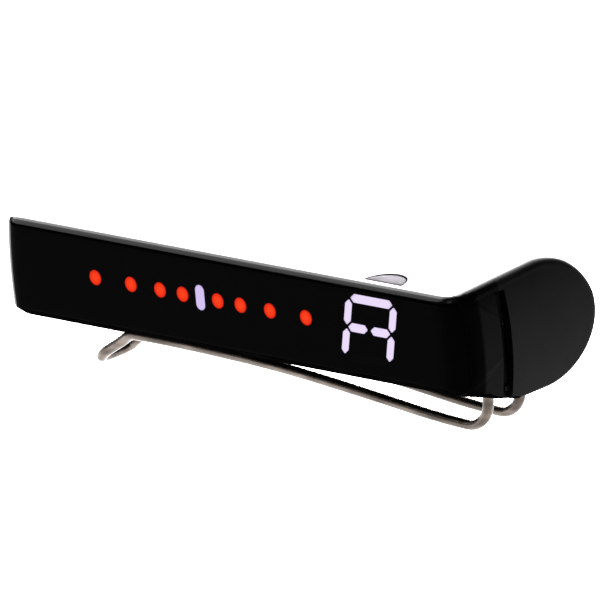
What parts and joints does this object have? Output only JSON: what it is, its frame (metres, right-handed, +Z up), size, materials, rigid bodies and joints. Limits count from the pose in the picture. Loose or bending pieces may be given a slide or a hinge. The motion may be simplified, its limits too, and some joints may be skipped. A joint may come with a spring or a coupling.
{
  "type": "clip on tuner",
  "caption": "Slim clip-on instrument tuner: a glossy display bar with lit dots and a note digit, a rounded battery barrel behind it and a spring wire clip underneath.",
  "frame": {"origin": "middle of the rubber grip pad's face, where the tuner rests on the headstock", "axes": "+X along the bar towards the clip's root, +Y from the display back to the battery barrel, +Z up out of the headstock"},
  "size_m": [0.0786, 0.0253, 0.0229],
  "materials": {
    "window_gloss_black": "glossy smoked acrylic",
    "case_black": "satin-gloss moulded ABS",
    "inner_black": "matt moulded plastic",
    "red_light_guide": "clear moulded light guide, lit red",
    "white_light_guide": "diffusing moulded light guide, lit cool white",
    "unlit_light_guide": "diffusing moulded light guide, unlit",
    "led_white": "ceramic",
    "board_green": "solder mask",
    "plated_steel": "bright zinc plate",
    "spring_wire": "nickel-plated spring steel, drawn",
    "brass": "rolled sheet",
    "rubber_black": "matt silicone rubber",
    "cell_wrap": "shrink sleeve"
  },
  "bodies": {
    "housing": {"front_window": "window_gloss_black", "front_case": "case_black", "middle_frame": "inner_black", "rear_case": "case_black", "display_mask": "inner_black", "dot_lens_1": "red_light_guide", "dot_lens_2": "red_light_guide", "dot_lens_3": "red_light_guide", "dot_lens_4": "red_light_guide", "dot_lens_5": "red_light_guide", "dot_lens_6": "red_light_guide", "dot_lens_7": "red_light_guide", "dot_lens_8": "red_light_guide", "pitch_lens": "white_light_guide", "segment_top": "white_light_guide", "segment_bottom": "unlit_light_guide", "segment_upper_left": "white_light_guide", "segment_upper_right": "white_light_guide", "segment_lower_left": "white_light_guide", "segment_lower_right": "white_light_guide", "segment_middle_left": "white_light_guide", "segment_middle_right": "white_light_guide", "note_display_block": "inner_black", "dot_led_1": "led_white", "dot_led_2": "led_white", "dot_led_3": "led_white", "dot_led_4": "led_white", "dot_led_5": "led_white", "dot_led_6": "led_white", "dot_led_7": "led_white", "dot_led_8": "led_white", "pitch_led": "led_white", "circuit_board": "board_green", "tuner_chip": "inner_black", "clock_crystal": "plated_steel", "smoothing_capacitor": "plated_steel", "key_switch": "plated_steel", "grip_pad": "rubber_black", "case_screw_1": "plated_steel", "case_screw_2": "plated_steel", "case_screw_3": "plated_steel", "battery_cell": "cell_wrap", "plus_contact": "brass", "sensor_plate": "brass", "sensor_disc": "led_white", "clip_root_front": "spring_wire", "clip_root_rear": "spring_wire", "wire_clamp_plate": "plated_steel", "wire_clamp_screw": "plated_steel"},
    "clip": {"clip_wire": "spring_wire"},
    "battery_cap": {"battery_cap": "case_black", "cap_contact": "brass", "contact_spring": "plated_steel"},
    "power_key": {"power_key": "case_black", "key_plunger": "rubber_black"}
  },
  "joints": [
    {"name": "clip_open", "type": "hinge", "parent": "housing", "child": "clip", "pos_m": [0.03275, 0, -0.00045], "axis": [0, -1, 0], "range_deg": [0, 20], "stiffness_Nm_per_rad": 0.3, "springref_deg": -8.59},
    {"name": "cap_slide", "type": "slide", "parent": "housing", "child": "battery_cap", "axis": [-1, 0, 0], "range_m": [0, 0.012]},
    {"name": "key_press", "type": "slide", "parent": "housing", "child": "power_key", "axis": [0, 0, -1], "range_m": [0, 0.0002], "stiffness_N_per_m": 800}
  ]
}
